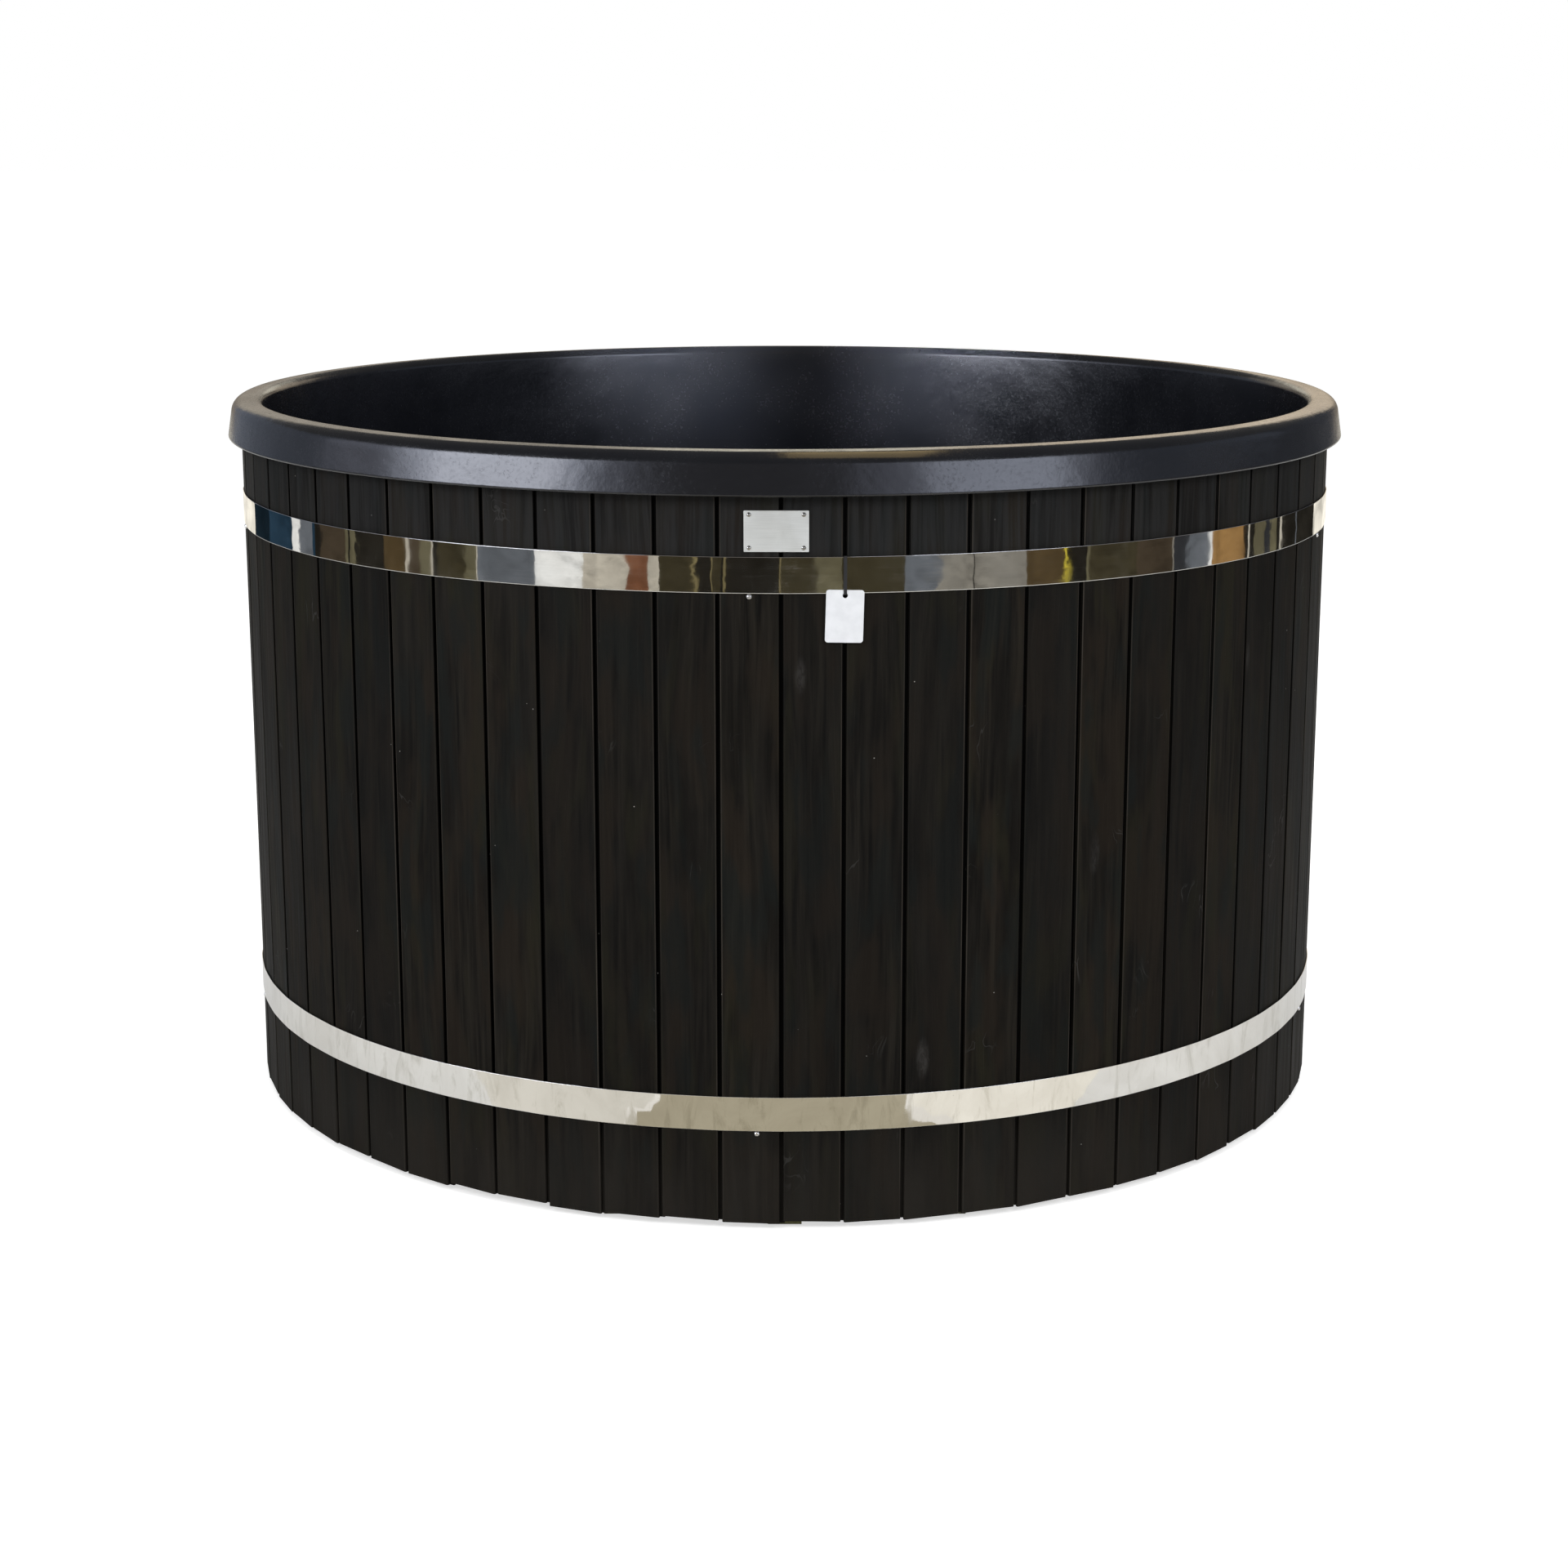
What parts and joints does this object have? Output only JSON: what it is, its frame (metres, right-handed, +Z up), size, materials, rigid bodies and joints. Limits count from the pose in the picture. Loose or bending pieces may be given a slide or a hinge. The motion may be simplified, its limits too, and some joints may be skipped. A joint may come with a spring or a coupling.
{
  "type": "outdoor hot tub",
  "caption": "Round outdoor hot tub: a dark moulded shell with a rolled rim and bench, clad in stained upright boards held by two steel bands, with stove pipes and a drain valve behind.",
  "frame": {"origin": "on the ground, on the tub's upright axis, at the underside of the middle joist", "axes": "+Z up along the tub's axis; -Y is the front, with the plate and the tag; +Y is the back, with the stove pipes and the drain valve; +X is to the right seen from the front"},
  "size_m": [1.7778, 1.9095, 1.105],
  "materials": {
    "tub_plastic": "satin",
    "insulation": "matte",
    "plywood": "matte",
    "treated_wood": "matte",
    "cladding_wood": "satin",
    "black_plastic": "matte",
    "band_steel": "gloss",
    "fitting_steel": "satin",
    "plate_metal": "satin",
    "tag_card": "matte",
    "rubber": "matte",
    "valve_brass": "satin",
    "grip_plastic": "satin"
  },
  "bodies": {
    "tub": {"inner_tub": "tub_plastic", "bench_seat": "tub_plastic", "bench_riser": "tub_plastic", "bench_ribs": "tub_plastic", "wall_insulation": "insulation", "floor_insulation": "insulation", "base_deck": "plywood", "joist_1": "treated_wood", "joist_2": "treated_wood", "joist_3": "treated_wood", "joist_4": "treated_wood", "joist_5": "treated_wood", "joist_6": "treated_wood", "joist_7": "treated_wood", "cladding_boards_1": "cladding_wood", "cladding_boards_2": "cladding_wood", "cladding_boards_3": "cladding_wood", "cladding_boards_4": "cladding_wood", "cladding_boards_5": "cladding_wood", "cladding_boards_6": "cladding_wood", "cladding_boards_7": "cladding_wood", "cladding_boards_8": "cladding_wood", "cladding_boards_9": "cladding_wood", "upper_hoop": "black_plastic", "middle_hoop": "black_plastic", "lower_hoop": "black_plastic", "tag_loop": "black_plastic", "drain_outlet": "black_plastic", "drain_lock_nut": "black_plastic", "drain_pipe": "black_plastic", "upper_pipe_nut": "black_plastic", "lower_pipe_nut": "black_plastic", "upper_band": "band_steel", "lower_band": "band_steel", "upper_band_lugs": "fitting_steel", "lower_band_lugs": "fitting_steel", "upper_band_bolt": "fitting_steel", "lower_band_bolt": "fitting_steel", "upper_band_nut": "fitting_steel", "lower_band_nut": "fitting_steel", "upper_band_rest_screws": "fitting_steel", "lower_band_rest_screws": "fitting_steel", "nameplate_screws": "fitting_steel", "drain_strainer": "fitting_steel", "upper_stove_pipe": "fitting_steel", "lower_stove_pipe": "fitting_steel", "upper_pipe_grille": "fitting_steel", "lower_pipe_grille": "fitting_steel", "nameplate": "plate_metal", "drain_gasket": "rubber", "upper_pipe_gasket": "rubber", "lower_pipe_gasket": "rubber", "drain_valve_body": "valve_brass", "drain_hose_tail": "valve_brass"},
    "tag": {"hang_tag": "tag_card"},
    "drain_handle": {"drain_valve_ball": "fitting_steel", "drain_valve_stem": "fitting_steel", "drain_lever": "fitting_steel", "drain_lever_grip": "grip_plastic", "drain_lever_nut": "fitting_steel"}
  },
  "joints": [
    {"name": "tag_swing", "type": "hinge", "parent": "tub", "child": "tag", "pos_m": [0.08167, -0.86648, 0.90938], "axis": [0.0938, -0.9956, 0], "range_deg": [-80, 80]},
    {"name": "drain_handle_turn", "type": "hinge", "parent": "tub", "child": "drain_handle", "pos_m": [0.118, 0.929, 0.038], "axis": [0, 0, 1], "range_deg": [0, 90]}
  ]
}
